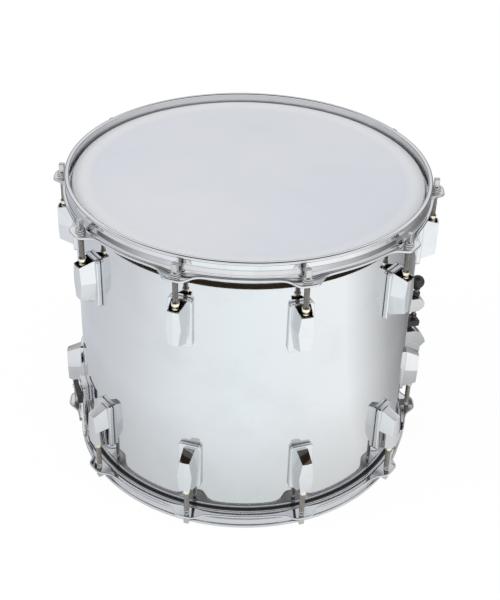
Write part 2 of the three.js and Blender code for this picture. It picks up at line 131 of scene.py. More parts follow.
def floorPlane(name, height):
    half = studio["floorHalf"]
    corners = [(-half, -half, height), (half, -half, height), (half, half, height), (-half, half, height)]
    return stagedSheet(name, corners, [(0, 1, 2, 3)])


def onlyReflected(sheet):
    sheet.visible_camera = sheet.visible_diffuse = sheet.visible_shadow = False
    sheet.visible_transmission = sheet.visible_volume_scatter = False


def glowOnly(nodes, links):
    # gives the sheet a plain glow in place of its shader
    glow = nodes.new("ShaderNodeEmission")
    output = next(node for node in nodes if node.type == "OUTPUT_MATERIAL")
    links.new(glow.outputs[0], output.inputs["Surface"])
    return glow


def hoopShadeRing():
    # painted shade: this glowing ring only shows in reflections, as a dark band on the shell under the upper
    # hoop
    steps = 96
    points, faces = [], []
    for i in range(steps):
        angle = 2 * math.pi * i / steps
        points += [(r * mm * math.cos(angle), r * mm * math.sin(angle), studio["shadeRingHeight"] * mm)
                   for r in (studio["shadeRingInner"], studio["shadeRingOuter"])]
        j = (i + 1) % steps
        faces.append((2 * i, 2 * i + 1, 2 * j + 1, 2 * j))
    shadeRing, nodes, links = stagedSheet("hoopShadeRing", points, faces)[:3]
    onlyReflected(shadeRing)
    glowOnly(nodes, links).inputs["Color"].default_value = studio["shadeRingColour"]


def makeStudio():
    shader = floorPlane("studioFloor", -studio["floorDrop"])[3]
    shader.inputs["Base Color"].default_value = studio["floorColour"]
    shader.inputs["Roughness"].default_value = 0.9
    shader.inputs["Specular IOR Level"].default_value = 0.0
    shader.inputs["Emission Color"].default_value = (1, 1, 1, 1)
    shader.inputs["Emission Strength"].default_value = studio["floorGlow"]

    # a glowing card on the floor that only reflections see, a painted reflection that is brightest in front of
    # the drum
    card, nodes, links = floorPlane("floorCard", -studio["floorDrop"] / 2)[:3]
    onlyReflected(card)
    where = nodes.new("ShaderNodeTexCoord")
    turn = nodes.new("ShaderNodeMapping")
    turn.inputs["Rotation"].default_value[2] = -math.radians(studio["front"])
    ring = nodes.new("ShaderNodeTexGradient")
    ring.gradient_type = "RADIAL"
    links.new(where.outputs["Object"], turn.inputs["Vector"])
    links.new(turn.outputs["Vector"], ring.inputs["Vector"])
    distance = nodes.new("ShaderNodeVectorMath")
    distance.operation = "LENGTH"
    links.new(where.outputs["Object"], distance.inputs[0])
    share = spread(nodes, links, distance.outputs["Value"], 0.0, 1.0, 0.0, studio["cardReach"])
    both = nodes.new("ShaderNodeMix")
    both.data_type = "RGBA"
    both.blend_type = "MULTIPLY"
    both.inputs["Factor"].default_value = 1.0
    links.new(addRamp(nodes, links, ring.outputs["Fac"], studio["cardRing"]), both.inputs[6])
    links.new(addRamp(nodes, links, share, studio["cardBand"]), both.inputs[7])
    glow = glowOnly(nodes, links)
    glow.inputs["Strength"].default_value = studio["cardGlow"]
    links.new(both.outputs[2], glow.inputs["Color"])
    hoopShadeRing()

    world = bpy.data.worlds.new("studio")
    scene.world = world
    world.use_nodes = True
    nodes, links = world.node_tree.nodes, world.node_tree.links
    where = nodes.new("ShaderNodeTexCoord")
    split = nodes.new("ShaderNodeSeparateXYZ")
    links.new(where.outputs["Generated"], split.inputs[0])
    facing = nodes.new("ShaderNodeVectorMath")
    facing.operation = "DOT_PRODUCT"
    front = math.radians(studio["front"])
    facing.inputs[1].default_value = (math.cos(front), math.sin(front), 0)
    links.new(where.outputs["Generated"], facing.inputs[0])
    share = spread(nodes, links, facing.outputs["Value"], 0.0, 1.0, -0.5, 0.5)
    sky = nodes.new("ShaderNodeMix")
    sky.data_type = "RGBA"
    links.new(share, sky.inputs["Factor"])
    links.new(addRamp(nodes, links, split.outputs["Z"], studio["skyBehind"]), sky.inputs[6])
    links.new(addRamp(nodes, links, split.outputs["Z"], studio["skyFront"]), sky.inputs[7])
    links.new(sky.outputs[2], nodes["Background"].inputs["Color"])
    nodes["Background"].inputs["Strength"].default_value = studio["skyGlow"]
    # the camera itself sees a white backdrop
    backdrop = nodes.new("ShaderNodeBackground")
    backdrop.inputs["Color"].default_value = (1, 1, 1, 1)
    choose = nodes.new("ShaderNodeMixShader")
    links.new(nodes.new("ShaderNodeLightPath").outputs["Is Camera Ray"], choose.inputs["Fac"])
    links.new(nodes["Background"].outputs[0], choose.inputs[1])
    links.new(backdrop.outputs[0], choose.inputs[2])
    links.new(choose.outputs[0], nodes["World Output"].inputs["Surface"])

    softBox("keyLight", (-1.5, -1.3, 1.9), (0, 0, 0.15), 1.3, 1.0, 11, (1.0, 0.99, 0.97))
    softBox("fillLight", (1.9, 0.3, 1.5), (0, 0, 0.15), 1.0, 1.2, 6.5, (0.95, 0.98, 1.0))


def softBox(name, spot, aim, width, length, power, colour):
    data = bpy.data.lights.new(name, "AREA")
    data.shape = "RECTANGLE"
    data.size, data.size_y = width, length
    data.energy = power
    data.color = colour
    light = bpy.data.objects.new(name, data)
    light.location = spot
    light.visible_glossy = False  # metal mirrors the cards and the sky, not the lamps
    light.rotation_mode = "QUATERNION"
    light.rotation_quaternion = (Vector(aim) - Vector(spot)).to_track_quat("-Z", "Y")
    scene.collection.objects.link(light)


# ---- materials

def newMaterial(name):
    paint = bpy.data.materials.new(name)
    paint.use_nodes = True
    nodes, links = paint.node_tree.nodes, paint.node_tree.links
    return paint, nodes, links, nodes["Principled BSDF"]


def newGroup(name, inputs, outputs):
    tree = bpy.data.node_groups.new(name, "ShaderNodeTree")
    for label, kind, value in inputs:
        socket = tree.interface.new_socket(name=label, in_out="INPUT", socket_type=kind)
        if value is not None:
            socket.default_value = value
    for label, kind in outputs:
        tree.interface.new_socket(name=label, in_out="OUTPUT", socket_type=kind)
    return tree, tree.nodes.new("NodeGroupInput"), tree.nodes.new("NodeGroupOutput")


def noiseNode(nodes, links, vector, scale, detail=3.0, rough=0.55):
    node = nodes.new("ShaderNodeTexNoise")
    node.inputs["Detail"].default_value = detail
    node.inputs["Roughness"].default_value = rough
    if isinstance(scale, (int, float)):
        node.inputs["Scale"].default_value = scale
    else:
        links.new(scale, node.inputs["Scale"])
    links.new(vector, node.inputs["Vector"])
    return node


def spread(nodes, links, value, low, high, fromLow=0.3, fromHigh=0.7):
    node = nodes.new("ShaderNodeMapRange")
    node.inputs["From Min"].default_value = fromLow
    node.inputs["From Max"].default_value = fromHigh
    links.new(value, node.inputs["Value"])
    for label, bound in (("To Min", low), ("To Max", high)):
        if isinstance(bound, (int, float)):
            node.inputs[label].default_value = bound
        else:
            links.new(bound, node.inputs[label])
    return node.outputs["Result"]


def handledMetalGroup():
    # smudges from handling, hairline polishing marks and the slight unevenness of the surface
    tree, start, end = newGroup(
        "handledMetal",
        [("Colour", "NodeSocketColor", (0.8, 0.8, 0.8, 1)), ("Stain", "NodeSocketColor", (0.6, 0.6, 0.6, 1)),
         ("Smooth", "NodeSocketFloat", 0.03), ("Smudged", "NodeSocketFloat", 0.12),
         ("Smudge Scale", "NodeSocketFloat", 25.0), ("Mark Scale", "NodeSocketFloat", 900.0),
         ("Mark Depth", "NodeSocketFloat", 0.02), ("Wave Scale", "NodeSocketFloat", 9.0),
         ("Wave Depth", "NodeSocketFloat", 0.02)],
        [("Colour", "NodeSocketColor"), ("Roughness", "NodeSocketFloat"), ("Height", "NodeSocketFloat")])
    nodes, links = tree.nodes, tree.links
    where = nodes.new("ShaderNodeTexCoord").outputs["Object"]
    smudge = noiseNode(nodes, links, where, start.outputs["Smudge Scale"], 5.0, 0.6)
    rough = spread(nodes, links, smudge.outputs["Fac"], start.outputs["Smooth"], start.outputs["Smudged"],
                   0.42, 0.75)
    links.new(rough, end.inputs["Roughness"])
    stain = nodes.new("ShaderNodeMix")
    stain.data_type = "RGBA"
    links.new(spread(nodes, links, smudge.outputs["Fac"], 0.0, 1.0, 0.5, 0.85), stain.inputs["Factor"])
    links.new(start.outputs["Colour"], stain.inputs[6])
    links.new(start.outputs["Stain"], stain.inputs[7])
    links.new(stain.outputs[2], end.inputs["Colour"])
    marks = noiseNode(nodes, links, where, start.outputs["Mark Scale"], 2.0, 0.5)
    waves = noiseNode(nodes, links, where, start.outputs["Wave Scale"], 1.0, 0.4)
    markHeight = nodes.new("ShaderNodeMath")
    markHeight.operation = "MULTIPLY"
    links.new(marks.outputs["Fac"], markHeight.inputs[0])
    links.new(start.outputs["Mark Depth"], markHeight.inputs[1])
    height = nodes.new("ShaderNodeMath")
    height.operation = "MULTIPLY_ADD"
    links.new(waves.outputs["Fac"], height.inputs[0])
    links.new(start.outputs["Wave Depth"], height.inputs[1])
    links.new(markHeight.outputs[0], height.inputs[2])
    links.new(height.outputs[0], end.inputs["Height"])
    return tree


def metal(name, look):
    paint, nodes, links, shader = newMaterial(name)
    group = nodes.new("ShaderNodeGroup")
    group.node_tree = groups["handledMetal"]
    for label, value in look["wear"].items():
        group.inputs[label].default_value = value
    shader.inputs["Metallic"].default_value = 1.0
    links.new(group.outputs["Colour"], shader.inputs["Base Color"])
    links.new(group.outputs["Roughness"], shader.inputs["Roughness"])
    bump = nodes.new("ShaderNodeBump")
    bump.inputs["Strength"].default_value = look["bump"]
    bump.inputs["Distance"].default_value = mm
    links.new(group.outputs["Height"], bump.inputs["Height"])
    links.new(bump.outputs["Normal"], shader.inputs["Normal"])
    return paint


metalLooks = {
    "shellSteel": {"bump": 0.5, "wear": {
        "Colour": (0.63, 0.64, 0.65, 1), "Stain": (0.57, 0.58, 0.59, 1), "Smooth": 0.035, "Smudged": 0.09,
        "Smudge Scale": 14.0, "Mark Scale": 700.0, "Mark Depth": 0.004,
        "Wave Scale": 14.0, "Wave Depth": 0.10}},
    "chromePlate": {"bump": 0.5, "wear": {
        "Colour": (0.66, 0.665, 0.675, 1), "Stain": (0.58, 0.585, 0.60, 1), "Smooth": 0.02, "Smudged": 0.075,
        "Smudge Scale": 45.0, "Mark Scale": 1200.0, "Mark Depth": 0.003,
        "Wave Scale": 60.0, "Wave Depth": 0.02}},
    # near-black metal for cut faces: dull cast metal, darkened as painted shade in the lugs' hollows, the
    # screw slots and the housing's groove
    "darkCastAndShade": {"bump": 1.0, "wear": {
        "Colour": (0.075, 0.075, 0.08, 1), "Stain": (0.03, 0.03, 0.03, 1), "Smooth": 0.35, "Smudged": 0.6,
        "Smudge Scale": 120.0, "Mark Scale": 2200.0, "Mark Depth": 0.2,
        "Wave Scale": 60.0, "Wave Depth": 0.1}},
    "threadSteel": {"bump": 1.0, "wear": {
        "Colour": (0.30, 0.285, 0.26, 1), "Stain": (0.19, 0.17, 0.145, 1), "Smooth": 0.28, "Smudged": 0.45,
        "Smudge Scale": 220.0, "Mark Scale": 2600.0, "Mark Depth": 0.06,
        "Wave Scale": 90.0, "Wave Depth": 0.02}},
    "keySteel": {"bump": 0.8, "wear": {
        "Colour": (0.52, 0.515, 0.505, 1), "Stain": (0.36, 0.345, 0.32, 1), "Smooth": 0.08, "Smudged": 0.2,
        "Smudge Scale": 160.0, "Mark Scale": 2400.0, "Mark Depth": 0.02,
        "Wave Scale": 90.0, "Wave Depth": 0.02}},
    "turnedBrass": {"bump": 1.0, "wear": {
        "Colour": (0.86, 0.79, 0.64, 1), "Stain": (0.66, 0.56, 0.40, 1), "Smooth": 0.22, "Smudged": 0.42,
        "Smudge Scale": 180.0, "Mark Scale": 2500.0, "Mark Depth": 0.04,
        "Wave Scale": 100.0, "Wave Depth": 0.02}},
    "satinAluminium": {"bump": 1.0, "wear": {
        "Colour": (0.70, 0.71, 0.725, 1), "Stain": (0.56, 0.57, 0.58, 1), "Smooth": 0.24, "Smudged": 0.42,
        "Smudge Scale": 60.0, "Mark Scale": 2000.0, "Mark Depth": 0.05,
        "Wave Scale": 40.0, "Wave Depth": 0.02}},
    "wireSteel": {"bump": 0.6, "wear": {
        "Colour": (0.70, 0.70, 0.69, 1), "Stain": (0.52, 0.51, 0.49, 1), "Smooth": 0.16, "Smudged": 0.32,
        "Smudge Scale": 90.0, "Mark Scale": 2500.0, "Mark Depth": 0.02,
        "Wave Scale": 60.0, "Wave Depth": 0.01}},
}


def grainGroup():
    # moulded or rolled plastic: colour mottling, uneven gloss and a fine grain
    tree, start, end = newGroup(
        "mouldedGrain",
        [("Colour", "NodeSocketColor", (0.5, 0.5, 0.5, 1)),
         ("Mottle", "NodeSocketColor", (0.4, 0.4, 0.4, 1)),
         ("Gloss", "NodeSocketFloat", 0.3), ("Dull", "NodeSocketFloat", 0.5),
         ("Mottle Scale", "NodeSocketFloat", 40.0), ("Grain Scale", "NodeSocketFloat", 2500.0)],
        [("Colour", "NodeSocketColor"), ("Roughness", "NodeSocketFloat"), ("Height", "NodeSocketFloat")])
    nodes, links = tree.nodes, tree.links
    where = nodes.new("ShaderNodeTexCoord").outputs["Object"]
    mottle = noiseNode(nodes, links, where, start.outputs["Mottle Scale"], 4.0, 0.6)
    blendNode = nodes.new("ShaderNodeMix")
    blendNode.data_type = "RGBA"
    links.new(spread(nodes, links, mottle.outputs["Fac"], 0.0, 1.0), blendNode.inputs["Factor"])
    links.new(start.outputs["Colour"], blendNode.inputs[6])
    links.new(start.outputs["Mottle"], blendNode.inputs[7])
    links.new(blendNode.outputs[2], end.inputs["Colour"])
    links.new(spread(nodes, links, mottle.outputs["Fac"], start.outputs["Gloss"], start.outputs["Dull"]),
              end.inputs["Roughness"])
    grain = noiseNode(nodes, links, where, start.outputs["Grain Scale"], 2.0, 0.5)
    links.new(grain.outputs["Fac"], end.inputs["Height"])
    return tree


def rimColour(nodes, links, colour, rim):
    # painted highlight: the film's colour turns paler towards its rim, where it bends down over the shell
    flat = nodes.new("ShaderNodeVectorMath")
    flat.operation = "MULTIPLY"
    flat.inputs[1].default_value = (1, 1, 0)
    links.new(nodes.new("ShaderNodeTexCoord").outputs["Object"], flat.inputs[0])
    radius = nodes.new("ShaderNodeVectorMath")
    radius.operation = "LENGTH"
    links.new(flat.outputs["Vector"], radius.inputs[0])
    mix = nodes.new("ShaderNodeMix")
    mix.data_type = "RGBA"
    rimShare = spread(nodes, links, radius.outputs["Value"], 0.0, 1.0, rim["start"], rim["full"])
    links.new(rimShare, mix.inputs["Factor"])
    links.new(colour, mix.inputs[6])
    mix.inputs[7].default_value = rim["colour"]
    return mix.outputs[2]


def plastic(name, look):
    paint, nodes, links, shader = newMaterial(name)
    group = nodes.new("ShaderNodeGroup")
    group.node_tree = groups["mouldedGrain"]
    for label, value in look["grain"].items():
        group.inputs[label].default_value = value
    colour = group.outputs["Colour"]
    if "rim" in look:
        colour = rimColour(nodes, links, colour, look["rim"])
    links.new(colour, shader.inputs["Base Color"])
    links.new(group.outputs["Roughness"], shader.inputs["Roughness"])
    shader.inputs["Coat Weight"].default_value = look["coat"]
    shader.inputs["Coat Roughness"].default_value = 0.25
    bump = nodes.new("ShaderNodeBump")
    bump.inputs["Strength"].default_value = look["bump"]
    bump.inputs["Distance"].default_value = look["depth"]
    links.new(group.outputs["Height"], bump.inputs["Height"])
    links.new(bump.outputs["Normal"], shader.inputs["Normal"])
    return paint


plasticLooks = {
    "headFilm": {"coat": 0.12, "bump": 0.25, "depth": 0.00002, "grain": {
        "Colour": (0.87, 0.885, 0.92, 1), "Mottle": (0.79, 0.83, 0.89, 1), "Gloss": 0.34, "Dull": 0.42,
        "Mottle Scale": 4.0, "Grain Scale": 3000.0},
        "rim": {"start": 0.158, "full": 0.171, "colour": (0.97, 0.985, 1.0, 1)}},
    "blackPlastic": {"coat": 0.1, "bump": 0.3, "depth": 0.00003, "grain": {
        "Colour": (0.012, 0.012, 0.013, 1), "Mottle": (0.022, 0.021, 0.02, 1), "Gloss": 0.26, "Dull": 0.42,
        "Mottle Scale": 90.0, "Grain Scale": 3200.0}},
    "nylonStrap": {"coat": 0.0, "bump": 0.5, "depth": 0.00005, "grain": {
        "Colour": (0.80, 0.81, 0.79, 1), "Mottle": (0.70, 0.70, 0.67, 1), "Gloss": 0.42, "Dull": 0.6,
        "Mottle Scale": 70.0, "Grain Scale": 2200.0}},
    "rubberGasket": {"coat": 0.0, "bump": 0.4, "depth": 0.00005, "grain": {
        "Colour": (0.02, 0.02, 0.02, 1), "Mottle": (0.035, 0.034, 0.033, 1), "Gloss": 0.6, "Dull": 0.8,
        "Mottle Scale": 120.0, "Grain Scale": 3000.0}},
}

makeCamera()
makeStudio()
groups = {"handledMetal": handledMetalGroup(), "mouldedGrain": grainGroup()}
paints = {name: metal(name, look) for name, look in metalLooks.items()}
paints.update({name: plastic(name, look) for name, look in plasticLooks.items()})
print("studio and materials ready")


# ---- mesh helpers, in millimetres

def meshOf(name, points, faces, *paintNames):
    mesh = bpy.data.meshes.new(name)
    mesh.from_pydata(points, [], faces)
    mesh.validate()
    for paintName in paintNames:
        mesh.materials.append(paints[paintName])
    return mesh


def cleaned(mesh, sharpAngle=35):
    work = bmesh.new()
    work.from_mesh(mesh)
    bmesh.ops.remove_doubles(work, verts=work.verts, dist=1e-4)
    bmesh.ops.recalc_face_normals(work, faces=work.faces)
    work.to_mesh(mesh)
    work.free()
    mesh.shade_smooth()
    mesh.set_sharp_from_angle(angle=math.radians(sharpAngle))
    return mesh


def joined(name, *meshes):
    # several meshes of the same paints as one
    work = bmesh.new()
    for mesh in meshes:
        work.from_mesh(mesh)
    whole = meshes[0].copy()
    whole.name = name
    work.to_mesh(whole)
    work.free()
    return whole


def rounded(corners, steps=4):
    # a closed outline of (u, v, radius) corners with its corners turned into arcs
    outline = []
    count = len(corners)
    for i, (u, v, radius) in enumerate(corners):
        here = Vector((u, v))
        before = Vector(corners[i - 1][:2]) - here
        after = Vector(corners[(i + 1) % count][:2]) - here
        if radius <= 0:
            outline.append((u, v))
            continue
        opening = before.angle(after)
        reach = min(radius / math.tan(opening / 2), 0.49 * before.length, 0.49 * after.length)
        arc = reach * math.tan(opening / 2)
        inward = (before.normalized() + after.normalized()).normalized()
        centre = here + inward * (arc / math.sin(opening / 2))
        first = here + before.normalized() * reach - centre
        last = here + after.normalized() * reach - centre
        sweep = first.angle_signed(last)
        for k in range(steps + 1):
            turned = Matrix.Rotation(-sweep * k / steps, 2) @ first
            outline.append(tuple(centre + turned))
    return outline


def lathe(profile, steps, closed=False):
    # (radius, z) pairs turned about Z
    points, faces = [], []
    count = len(profile)
    for i in range(steps):
        angle = 2 * math.pi * i / steps
        points += [(r * math.cos(angle), r * math.sin(angle), z) for r, z in profile]
    for i in range(steps):
        a, b = i * count, (i + 1) % steps * count
        for j in range(count if closed else count - 1):
            k = (j + 1) % count
            faces.append((a + j, b + j, b + k, a + k))
    return points, faces


def turnedPiece(name, profile, steps, paintName, closed=False, axis=0.0, sharpAngle=35):
    points, faces = lathe(profile, steps, closed)
    mesh = cleaned(meshOf(name, points, faces, paintName), sharpAngle)
    mesh.transform(Matrix.Translation((axis, 0, 0)))
    return mesh


def prism(outline, place):
    # an outline of (u, v) pairs between two levels, each point put in space by place(u, v, level)
    count = len(outline)
    points = [place(u, v, 0) for u, v in outline] + [place(u, v, 1) for u, v in outline]
    faces = [tuple(range(count)), tuple(range(count, 2 * count))]
    for i in range(count):
        j = (i + 1) % count
        faces.append((i, j, count + j, count + i))
    return points, faces


def sideSlab(outline, half, shift=0.0):
    # outline in x and z, width along y
    return prism(outline, lambda u, v, level: (u, shift + (half if level else -half), v))


def faceSlab(outline, back, front):
    # outline in y and z, thickness along x
    return prism(outline, lambda u, v, level: (front if level else back, u, v))


def shellSlab(outline, backRadius, front):
    # like faceSlab, with a back that follows the round shell
    def spot(u, v, level):
        return (front, u, v) if level else (math.sqrt(backRadius**2 - u * u), u, v)

    return prism(outline, spot)


def block(low, high):
    outline = [(low[1], low[2]), (high[1], low[2]), (high[1], high[2]), (low[1], high[2])]
    return faceSlab(outline, low[0], high[0])


def crossPin(x, z, radius, half, steps=32):
    angles = [2 * math.pi * i / steps for i in range(steps)]
    outline = [(x + radius * math.cos(a), z + radius * math.sin(a)) for a in angles]
    return sideSlab(outline, half)


def hull(points):
    work = bmesh.new()
    for point in points:
        work.verts.new(point)
    bmesh.ops.convex_hull(work, input=work.verts)
    bmesh.ops.dissolve_limit(work, angle_limit=math.radians(0.5), verts=work.verts, edges=work.edges)
    work.verts.index_update()
    shape = ([tuple(v.co) for v in work.verts], [tuple(v.index for v in f.verts) for f in work.faces])
    work.free()
    return shape


def solid(name, parts, cuts, paintNames, bevel=0.6, segments=3, angle=28):
    # parts joined, cuts taken away, edges rounded; the cuts' faces take the last paint
    def tool(label, shape, index):
        mesh = cleaned(meshOf(label, shape[0], shape[1], *paintNames))
        for face in mesh.polygons:
            face.material_index = index
        made = bpy.data.objects.new(label, mesh)
        scene.collection.objects.link(made)
        return made

    whole = tool(name, parts[0], 0)
    helpers = []
    last = len(paintNames) - 1
    for operation, shapes, index in (("UNION", parts[1:], 0), ("DIFFERENCE", cuts, last)):
        for shape in shapes:
            helper = tool(name + "Tool", shape, index)
            helpers.append(helper)
            step = whole.modifiers.new("step", "BOOLEAN")
            step.operation = operation
            step.object = helper
            step.solver = "EXACT"
    if bevel:
        rounding = whole.modifiers.new("rounding", "BEVEL")
        rounding.width = bevel
        rounding.segments = segments
        rounding.limit_method = "ANGLE"
        rounding.angle_limit = math.radians(angle)
        rounding.harden_normals = True
        rounding.use_clamp_overlap = True
        rounding.miter_outer = "MITER_ARC"
    mesh = applied(whole)
    for helper in helpers:
        bpy.data.objects.remove(helper)
    return mesh


def applied(obj):
    bpy.context.view_layer.update()
    graph = bpy.context.evaluated_depsgraph_get()
    final = obj.evaluated_get(graph)
    mesh = bpy.data.meshes.new_from_object(final, preserve_all_data_layers=True, depsgraph=graph)
    bpy.data.objects.remove(obj)
    return mesh


def cutAway(name, mesh, cutters):
    whole = bpy.data.objects.new(name, mesh)
    scene.collection.objects.link(whole)
    helpers = []
    for cutter in cutters:
        helper = bpy.data.objects.new(name + "Tool", cutter)
        helpers.append(helper)
        scene.collection.objects.link(helper)
        step = whole.modifiers.new("cut", "BOOLEAN")
        step.operation = "DIFFERENCE"
        step.object = helper
        step.solver = "EXACT"
    result = applied(whole)
    for helper in helpers:
        bpy.data.objects.remove(helper)
    return result


def roundedBox(left, right, low, high, corner, steps):
    corners = [(left, low, corner), (right, low, corner), (right, high, corner), (left, high, corner)]
    return rounded(corners, steps)


def addPiece(name, mesh, place, body, slotName, *nodes):
    own = mesh.copy()
    own.name = name
    own.transform(place)
    obj = bpy.data.objects.new(name, own)
    scene.collection.objects.link(obj)
    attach(obj, body)
    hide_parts(*nodes)
    return obj


# ---- places: a drum end, or the shell's side, at an angle

def endPlace(side, angle=0.0):
    seat = Matrix.Translation((0, 0, cadBox[1].z)) if side == "top" else Matrix.Rotation(math.pi, 4, "X")
    return Matrix.Rotation(angle, 4, "Z") @ seat @ Matrix.Scale(mm, 4)


def sidePlace(angle=0.0):
    return Matrix.Rotation(angle, 4, "Z") @ Matrix.Scale(mm, 4)


def angleOf(body):
    return math.atan2(jointAt[body].y, jointAt[body].x)


strainerAngle = angleOf("lever")
buttAngle = strainerAngle + math.pi
rodCircle = jointAt["top_rod_01"].xy.length / mm

# ---- shell and air vent

shell = {"radius": 177.8, "length": 304.8, "stand": 9.2, "wall": 1.6, "lip": 8.0, "steps": 288}
vent = {"height": 161.6, "angle": 117.0, "radius": 8.5, "bore": 4.5, "neck": 5.8, "lip": 1.6, "margin": 7.2,
        "drillReach": 20}


def shellMesh():
    r, low = shell["radius"], shell["stand"]
    high = low + shell["length"]
    inner = r - shell["wall"]
    lower = [(inner, low + 9, 2), (r - shell["lip"] + 1, low + 7.6, 0.4), (r - shell["lip"], low + 6, 0.4),
             (r - 2.6, low, 0.5), (r - 0.6, low, 1.2)]
    upper = [(radius, low + high - z, bend) for radius, z, bend in reversed(lower)]
    # rows just above and below the vent keep its hole from disturbing the rest of the wall
    rows = [vent["height"] - vent["margin"], vent["height"] + vent["margin"]]
    outer = [(r, low + 3, 1.0)] + [(r, z, 0) for z in rows] + [(r, high - 3, 1.0)]
    outline = rounded(lower + outer + upper + [(inner, z, 0) for z in reversed(rows)], 4)
    tube = turnedPiece("shell", outline, shell["steps"], "shellSteel", closed=True, sharpAngle=50)
    neck, reach = vent["neck"], vent["drillReach"]
    drill = turnedPiece("drill", [(0, -reach), (neck, -reach), (neck, reach), (0, reach)], 48, "shellSteel")
    turn = Matrix.Rotation(math.radians(vent["angle"]), 4, "Z")
    across = turn @ Matrix.Translation((r, 0, vent["height"]))
    drill.transform(across @ Matrix.Rotation(math.pi / 2, 4, "Y"))
    return cutAway("shell", tube, [drill])


def ventMesh():
    inside, outside = shell["radius"] - shell["wall"], shell["radius"]
    outline = rounded([
        (vent["bore"], inside - vent["lip"], 0.7), (vent["radius"], inside - vent["lip"], 0.7),
        (vent["radius"], inside - 0.1, 0.2), (vent["neck"] - 0.1, inside - 0.1, 0),
        (vent["neck"] - 0.1, outside + 0.25, 0), (vent["radius"], outside + 0.25, 0.2),
        (vent["radius"], outside + vent["lip"], 1.0), (vent["bore"], outside + vent["lip"], 0.8)], 4)
    return turnedPiece("vent", outline, 64, "chromePlate", closed=True)


addPiece("drum_shell", shellMesh(), sidePlace(), "drum", "shell_steel", "shell")
ventPlace = sidePlace(math.radians(vent["angle"])) @ Matrix.Translation((0, 0, vent["height"]))
ventPlace = ventPlace @ Matrix.Rotation(math.pi / 2, 4, "Y")
addPiece("air_vent", ventMesh(), ventPlace, "drum", "chrome", "vent_grommet")
print("shell done")

# ---- heads and flesh hoops

head = {"film": 0.35, "flat": 174.5, "crown": 177.2, "collar": 178.9, "rise": 8.55, "hem": 18.7}
fleshHoop = {"inner": 179.5, "outer": 182.8, "high": 12.8, "low": 19.6,
    "seal": 0.8, "sealInner": 178.1, "sealOuter": 180.4}


def headMesh():
    t, top = head["film"], -head["rise"]
    outer = [(0, top), (60, top), (120, top), (head["flat"], top)]
    bend = [(head["collar"] - 1.7 + 1.7 * math.sin(a), top - 1.9 + 1.9 * math.cos(a))
            for a in [math.radians(12 * i) for i in range(1, 8)]]
    outer += [(head["crown"] - 0.6, top - 0.02)] + bend + [(head["collar"], -head["hem"])]
    inner = [(r - t if r > 150 else r, z - (t if r < head["collar"] - 0.3 else 0)) for r, z in outer]
    inner[-1] = (head["collar"] - t, -head["hem"])
    return turnedPiece("head", outer + inner[::-1], 288, "headFilm", sharpAngle=60)


def fleshHoopMesh():
    # a metal channel, with the black resin that holds the film's hem showing at its open side
    f = fleshHoop
    channel = rounded([(f["inner"], -f["low"], 0.7), (f["outer"], -f["low"], 0.7),
                       (f["outer"], -f["high"], 0.9), (f["inner"], -f["high"], 0.9)])
    low, high = -f["low"] - 0.1, -f["low"] + f["seal"]
    seal = rounded([(f["sealInner"], low, 0.3), (f["sealOuter"], low, 0.3),
                    (f["sealOuter"], high, 0.2), (f["sealInner"], high, 0.2)])
    ring = turnedPiece("fleshHoop", channel, 240, "satinAluminium", closed=True)
    ring.materials.append(paints["blackPlastic"])
    resin = turnedPiece("resin", seal, 240, "blackPlastic", closed=True)
    for face in resin.polygons:
        face.material_index = 1
    return joined("fleshRing", ring, resin)


film, flesh = headMesh(), fleshHoopMesh()
for side, label in (("top", "batter"), ("bottom", "snare_side")):
    addPiece(label + "_film", film, endPlace(side), "drum", "head_film", label + "_head")
    addPiece(label + "_flesh_ring", flesh, endPlace(side), "drum", "aluminium", label + "_flesh_hoop")
print("heads done")

# ---- counter hoops

hoop = {
    "inner": 180.6, "bead": 185.4, "beadDepth": 3.6, "collar": 182.6, "step": 10.4, "thick": 2.0,
    "skirtInner": 183.4, "skirt": 184.7, "skirtStart": 14.0, "sheet": 1.6,
    "flange": 16.2, "edge": 188.0, "lip": 18.6, "earFlange": 17.9, "ear": 199.4, "earLip": 20.4,
    "earWidth": 4.2, "earPower": 5, "gateWidth": 27, "gateTop": 4.2, "gateReach": 30,
}


def hoopSection(share):
    # the plain flange at share 0 and the middle of an ear at share 1
    edge, lip, flange = (hoop[low] + share * (hoop[high] - hoop[low])
                         for low, high in (("edge", "ear"), ("lip", "earLip"), ("flange", "earFlange")))
    floor, under = hoop["step"] + hoop["thick"], flange + hoop["sheet"]
    return rounded([
        (hoop["inner"], -floor, 0.5), (hoop["skirtInner"], -floor, 0.4), (hoop["skirtInner"], -under, 0.9),
        (edge - hoop["sheet"], -under, 0.5), (edge - hoop["sheet"], -lip, 0.5), (edge, -lip, 0.6),
        (edge, -flange, 1.6), (hoop["skirt"], -flange, 1.0), (hoop["skirt"], -hoop["skirtStart"], 3.0),
        (hoop["collar"], -hoop["step"] + 1.0, 3.0), (hoop["collar"], -hoop["beadDepth"], 0.8),
        (hoop["bead"], -hoop["beadDepth"], 1.4), (hoop["bead"], 0, 1.7), (hoop["inner"], 0, 1.7)], 6)


